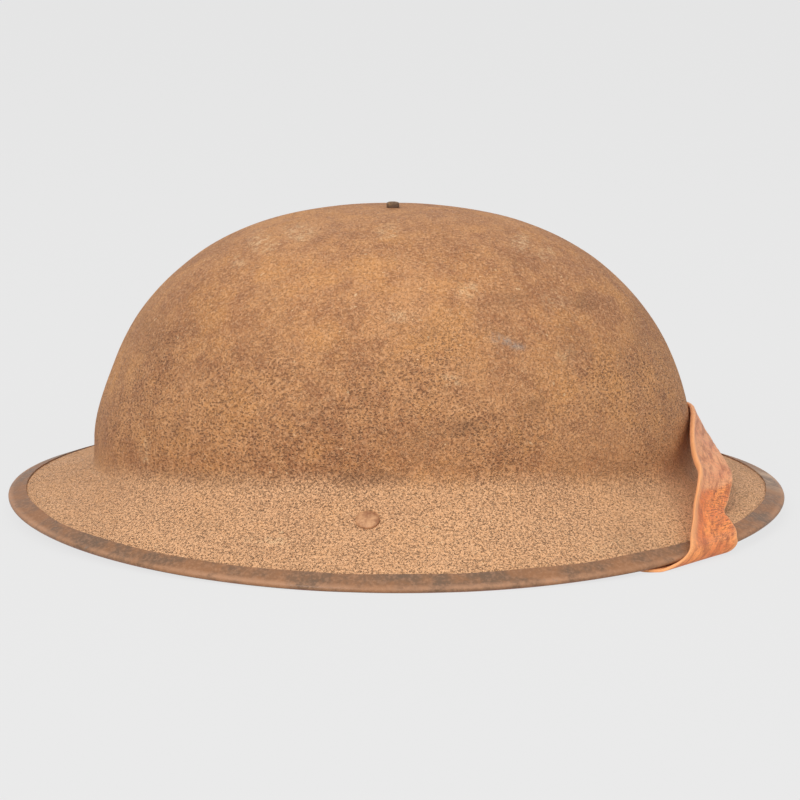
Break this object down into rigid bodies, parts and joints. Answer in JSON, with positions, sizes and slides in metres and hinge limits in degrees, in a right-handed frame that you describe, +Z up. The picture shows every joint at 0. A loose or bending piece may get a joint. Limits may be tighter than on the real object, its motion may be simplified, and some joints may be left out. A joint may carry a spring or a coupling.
{
  "type": "brodie helmet",
  "caption": "Steel helmet with a domed crown, a wide sloping brim and a folded rim, lined with cloth and net, with a leather chin strap on wire bails draped over the front.",
  "frame": {"origin": "centre of the bounding box on the surface that the rim's side points rest on", "axes": "+X along the helmet to its front, where the strap lies, +Y across it to the wearer's left, +Z up"},
  "size_m": [0.306, 0.292, 0.1195],
  "materials": {
    "shell_paint": "dull brown paint with a rough sprinkled grain",
    "binding_paint": "dull brown paint, worn along the fold",
    "rivet_metal": "dark brown paint",
    "felt": "matt felt",
    "tinned_steel": "dull tinned",
    "oilcloth": "black, slight sheen",
    "band_cloth": "black, slight sheen",
    "rubber": "matt",
    "twine": "matt",
    "bracket_paint": "dull brown paint",
    "wire": "dull, lightly rusted",
    "strap_leather": "worn tan leather",
    "buckle_brass": "dull"
  },
  "bodies": {
    "helmet": {"shell": "shell_paint", "rim_binding": "binding_paint", "crown_rivet": "rivet_metal", "crown_cushion": "felt", "crown_washer": "tinned_steel", "crown_pad": "felt", "liner_cap": "oilcloth", "head_band": "band_cloth", "band_hoop": "tinned_steel", "rubber_tubes": "rubber", "tube_rivets": "tinned_steel", "head_net": "twine", "draw_cord": "twine", "left_bracket": "bracket_paint", "right_bracket": "bracket_paint", "left_bracket_rivet": "rivet_metal", "right_bracket_rivet": "rivet_metal", "left_rivet_washer": "tinned_steel", "right_rivet_washer": "tinned_steel", "chin_strap": "strap_leather"},
    "left_bail": {"left_bail": "wire"},
    "right_bail": {"right_bail": "wire"},
    "slide_buckle": {"slide_buckle": "buckle_brass"}
  },
  "joints": [
    {"name": "right_bail_swing", "type": "hinge", "parent": "helmet", "child": "right_bail", "pos_m": [-0.0097, -0.10846, 0.02067], "axis": [0.9976, -0.0687, 0], "range_deg": [-6, 160], "deforming": ["chin_strap"]},
    {"name": "left_bail_swing", "type": "hinge", "parent": "helmet", "child": "left_bail", "pos_m": [-0.0097, 0.10846, 0.02067], "axis": [-0.9976, -0.0687, 0], "range_deg": [-126, 40], "deforming": ["chin_strap"]},
    {"name": "buckle_slide", "type": "slide", "parent": "helmet", "child": "slide_buckle", "axis": [0.9792, 0.1154, -0.1669], "range_m": [-0.01, 0.004], "deforming": ["chin_strap"]}
  ]
}
